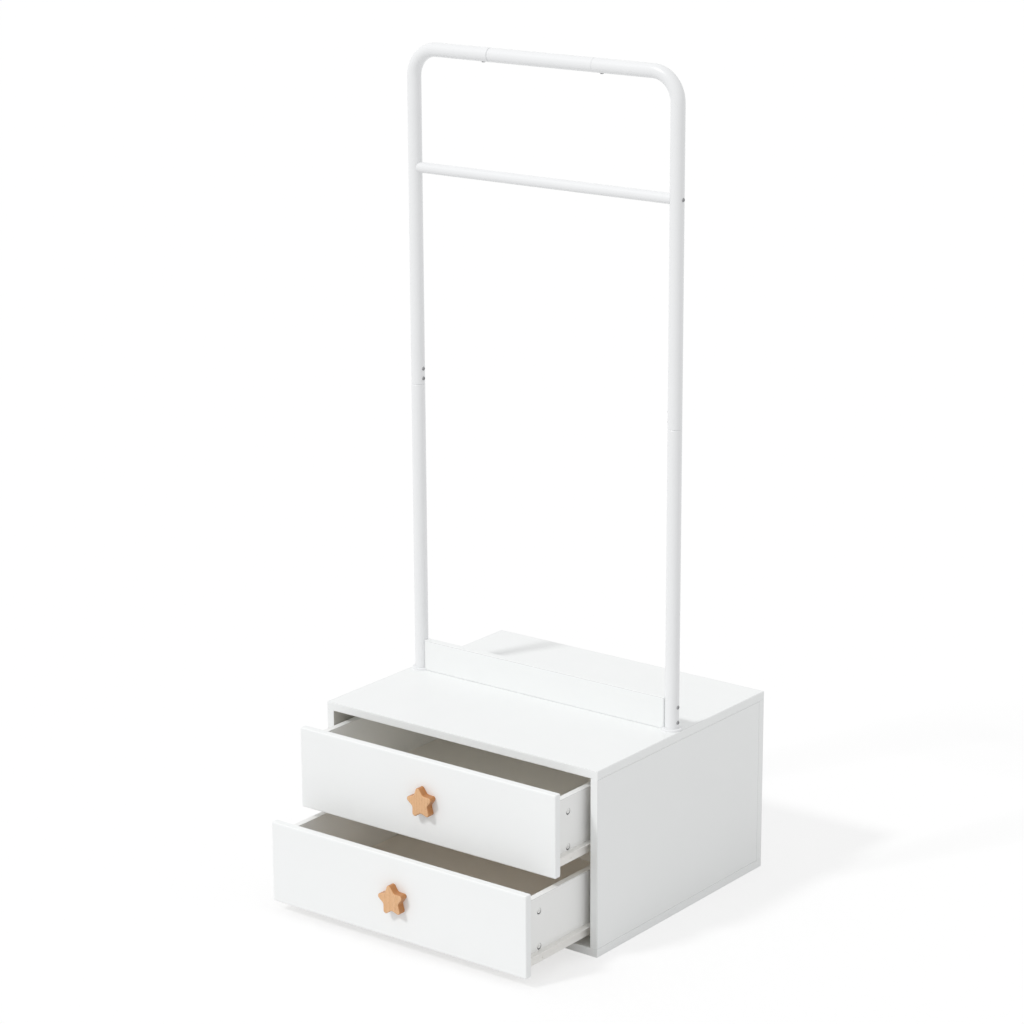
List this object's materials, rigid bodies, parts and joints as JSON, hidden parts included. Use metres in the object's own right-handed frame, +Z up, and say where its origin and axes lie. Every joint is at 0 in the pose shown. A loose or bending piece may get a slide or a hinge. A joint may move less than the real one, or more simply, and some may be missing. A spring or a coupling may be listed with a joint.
{
  "type": "kids wardrobe",
  "caption": "Open kids wardrobe: a low white cabinet with star-knobbed drawers on roller slides, and a tubular steel hanging frame with a crossbar standing on its top.",
  "frame": {"origin": "centre of the bottom panel's underside, on the floor", "axes": "+Z up, +X to the right of someone who faces the drawers, +Y to the back, so the drawers open towards -Y"},
  "size_m": [0.6, 0.707, 1.5],
  "materials": {
    "cabinet_board": "satin white melamine on particle board",
    "front_board": "satin white foil on fibreboard, edges rounded over",
    "drawer_board": "satin white melamine",
    "drawer_sheet": "matt white-faced thin fibreboard",
    "white_tube": "white powder coat on steel tube",
    "slide_steel": "white epoxy on sheet steel",
    "nylon": "white nylon",
    "beech": "warm beech, clear satin lacquer",
    "cam_zinc": "nickel-plated zinc casting",
    "white_screw": "white-capped steel screw",
    "plated_steel": "zinc-plated steel"
  },
  "bodies": {
    "cabinet": {"back_panel": "cabinet_board", "base_collars": "white_tube", "bottom_panel": "cabinet_board", "cabinet_cam_bolts": "plated_steel", "cabinet_cam_locks": "cam_zinc", "cabinet_dowels": "beech", "cabinet_screws": "plated_steel", "channel_rivets": "plated_steel", "channel_screws": "plated_steel", "crossbar": "white_tube", "crossbar_screws": "white_screw", "left_corner_tube": "white_tube", "left_lower_post": "white_tube", "left_side_panel": "cabinet_board", "low_board": "cabinet_board", "low_board_screws": "white_screw", "lower_left_channel": "slide_steel", "lower_right_channel": "slide_steel", "post_studs": "plated_steel", "right_corner_tube": "white_tube", "right_lower_post": "white_tube", "right_side_panel": "cabinet_board", "top_panel": "cabinet_board", "top_rail": "white_tube", "tube_inserts": "plated_steel", "tube_joint_screws": "white_screw", "upper_left_channel": "slide_steel", "upper_right_channel": "slide_steel"},
    "upper_drawer": {"upper_drawer_back": "drawer_board", "upper_drawer_back_screws": "plated_steel", "upper_drawer_bottom": "drawer_sheet", "upper_drawer_cam_bolts": "plated_steel", "upper_drawer_cam_locks": "cam_zinc", "upper_drawer_front": "front_board", "upper_drawer_left_runner": "slide_steel", "upper_drawer_left_side": "drawer_board", "upper_drawer_right_runner": "slide_steel", "upper_drawer_right_side": "drawer_board", "upper_drawer_rivets": "plated_steel", "upper_drawer_runner_screws": "plated_steel", "upper_knob_screw": "plated_steel", "upper_star_knob": "beech"},
    "lower_drawer": {"lower_drawer_back": "drawer_board", "lower_drawer_back_screws": "plated_steel", "lower_drawer_bottom": "drawer_sheet", "lower_drawer_cam_bolts": "plated_steel", "lower_drawer_cam_locks": "cam_zinc", "lower_drawer_front": "front_board", "lower_drawer_left_runner": "slide_steel", "lower_drawer_left_side": "drawer_board", "lower_drawer_right_runner": "slide_steel", "lower_drawer_right_side": "drawer_board", "lower_drawer_rivets": "plated_steel", "lower_drawer_runner_screws": "plated_steel", "lower_knob_screw": "plated_steel", "lower_star_knob": "beech"},
    "upper_front_rollers": {"upper_front_rollers": "nylon"},
    "lower_front_rollers": {"lower_front_rollers": "nylon"},
    "upper_rear_rollers": {"upper_rear_rollers": "nylon"},
    "lower_rear_rollers": {"lower_rear_rollers": "nylon"}
  },
  "joints": [
    {"name": "upper_drawer_slide", "type": "slide", "parent": "cabinet", "child": "upper_drawer", "axis": [0, -1, 0], "range_m": [-0.095, 0.245]},
    {"name": "upper_front_roller_spin", "type": "hinge", "parent": "cabinet", "child": "upper_front_rollers", "pos_m": [0, -0.222, 0.19675], "axis": [1, 0, 0], "range_deg": [-690, 1710]},
    {"name": "upper_rear_roller_spin", "type": "hinge", "parent": "upper_drawer", "child": "upper_rear_rollers", "pos_m": [0, 0.0965, 0.19475], "axis": [1, 0, 0], "range_deg": [-690, 1710]},
    {"name": "lower_drawer_slide", "type": "slide", "parent": "cabinet", "child": "lower_drawer", "axis": [0, -1, 0], "range_m": [-0.177, 0.163]},
    {"name": "lower_front_roller_spin", "type": "hinge", "parent": "cabinet", "child": "lower_front_rollers", "pos_m": [0, -0.222, 0.04375], "axis": [1, 0, 0], "range_deg": [-1230, 1140]},
    {"name": "lower_rear_roller_spin", "type": "hinge", "parent": "lower_drawer", "child": "lower_rear_rollers", "pos_m": [0, 0.0145, 0.04175], "axis": [1, 0, 0], "range_deg": [-1230, 1140]}
  ],
  "couplings": [
    {"joint": "upper_front_roller_spin", "follows": "upper_drawer_slide", "rad_per_m": 117.65},
    {"joint": "upper_rear_roller_spin", "follows": "upper_drawer_slide", "rad_per_m": 117.65},
    {"joint": "lower_front_roller_spin", "follows": "lower_drawer_slide", "rad_per_m": 117.65},
    {"joint": "lower_rear_roller_spin", "follows": "lower_drawer_slide", "rad_per_m": 117.65}
  ]
}
